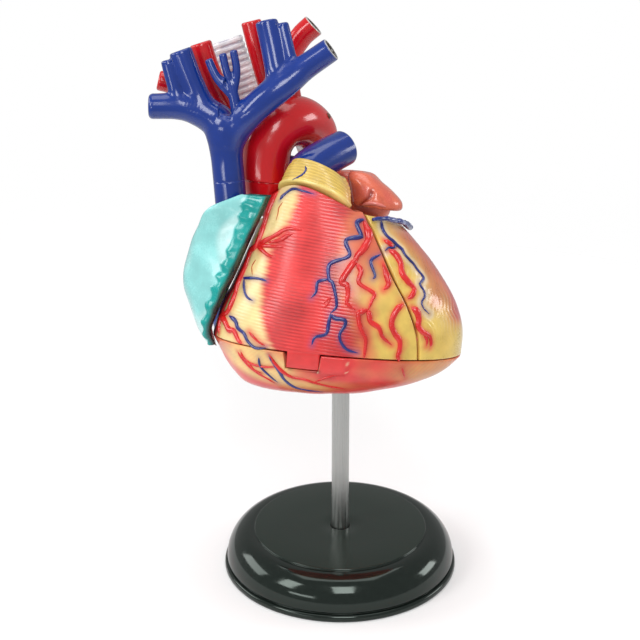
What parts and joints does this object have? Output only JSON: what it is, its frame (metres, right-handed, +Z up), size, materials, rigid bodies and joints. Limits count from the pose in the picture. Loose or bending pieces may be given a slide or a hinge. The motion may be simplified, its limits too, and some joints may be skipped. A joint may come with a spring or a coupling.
{
  "type": "human heart anatomy model",
  "caption": "Take-apart painted model of the human heart with its great vessels, on a rod and a round stand, for showing the walls, valves and vessels in class.",
  "frame": {"origin": "centre of the stand's underside", "axes": "+Z up along the rod, -Y towards the front of the heart, +X to the viewer's right"},
  "size_m": [0.0695, 0.0627, 0.127],
  "materials": {
    "stand_black": "very glossy black-green moulding",
    "rod_metal": "fine brushed round rod",
    "floor_paint": "coral red paint with yellow fibre patches",
    "rear_paint": "coral red paint shading to yellow",
    "front_paint": "airbrushed cream to coral red over fine grooves",
    "side_paint": "airbrushed tan, yellow and rose",
    "septum_paint": "salmon paint",
    "crown_paint": "cream paint",
    "leaflet_white": "ivory, satin",
    "cap_yellow": "yellow paint over fine grooves",
    "vein_blue": "glossy royal blue paint",
    "artery_red": "glossy red paint",
    "auricle_aqua": "pale aqua with a deep teal edge",
    "auricle_salmon": "salmon paint",
    "windpipe_white": "off-white with grey-lilac shading"
  },
  "bodies": {
    "stand": {"display_base": "stand_black"},
    "rod": {"support_rod": "rod_metal"},
    "heart": {"ventricle_floor": "floor_paint", "rear_wall": "rear_paint", "septum": "septum_paint", "valve_crown": "crown_paint", "tricuspid_valve": "leaflet_white", "mitral_valve": "leaflet_white", "aortic_valve": "leaflet_white", "pulmonary_valve": "leaflet_white", "right_atrium": "vein_blue", "left_atrium": "auricle_salmon", "left_pulmonary_veins": "artery_red", "right_pulmonary_veins": "artery_red", "right_pulmonary_artery": "vein_blue", "aortic_root": "artery_red", "superior_vena_cava": "vein_blue", "inferior_vena_cava": "vein_blue"},
    "front_wall": {"right_ventricle_wall": "front_paint"},
    "side_wall": {"left_ventricle_wall": "side_paint", "great_cardiac_vein": "vein_blue"},
    "outflow": {"conus_cap": "cap_yellow", "pulmonary_trunk": "vein_blue"},
    "right_auricle": {"right_auricle": "auricle_aqua"},
    "left_auricle": {"left_auricle": "auricle_salmon"},
    "arch": {"aorta": "artery_red", "descending_aorta": "artery_red", "brachiocephalic_artery": "artery_red", "left_carotid_artery": "artery_red", "left_subclavian_artery": "artery_red"},
    "upper_veins": {"brachiocephalic_veins": "vein_blue"},
    "windpipe": {"trachea": "windpipe_white", "bronchi": "windpipe_white"}
  },
  "joints": [
    {"name": "rod_lift", "type": "slide", "parent": "stand", "child": "rod", "axis": [0, 0, 1], "range_m": [0, 0.01]},
    {"name": "heart_turn", "type": "hinge", "parent": "rod", "child": "heart", "pos_m": [0, 0, 0.06], "axis": [0, 0, 1], "continuous": true},
    {"name": "front_wall_pull", "type": "slide", "parent": "heart", "child": "front_wall", "axis": [0.0226, -0.9659, 0.2578], "range_m": [0, 0.02]},
    {"name": "side_wall_pull", "type": "slide", "parent": "heart", "child": "side_wall", "axis": [0.7628, -0.6381, 0.1049], "range_m": [0, 0.018]},
    {"name": "outflow_lift", "type": "slide", "parent": "heart", "child": "outflow", "axis": [0.0842, 0.2588, 0.9623], "range_m": [0, 0.014]},
    {"name": "right_auricle_pull", "type": "slide", "parent": "heart", "child": "right_auricle", "axis": [-0.8206, -0.4387, 0.3663], "range_m": [0, 0.014]},
    {"name": "left_auricle_pull", "type": "slide", "parent": "heart", "child": "left_auricle", "axis": [0.9739, -0.1369, 0.1813], "range_m": [0, 0.012]},
    {"name": "arch_lift", "type": "slide", "parent": "heart", "child": "arch", "axis": [0.0842, 0.2588, 0.9623], "range_m": [0, 0.008]},
    {"name": "upper_veins_lift", "type": "slide", "parent": "heart", "child": "upper_veins", "axis": [-0.0763, 0.2555, 0.9638], "range_m": [0, 0.012]},
    {"name": "windpipe_lift", "type": "slide", "parent": "heart", "child": "windpipe", "axis": [-0.3211, 0.2372, 0.9168], "range_m": [0, 0.012]}
  ]
}
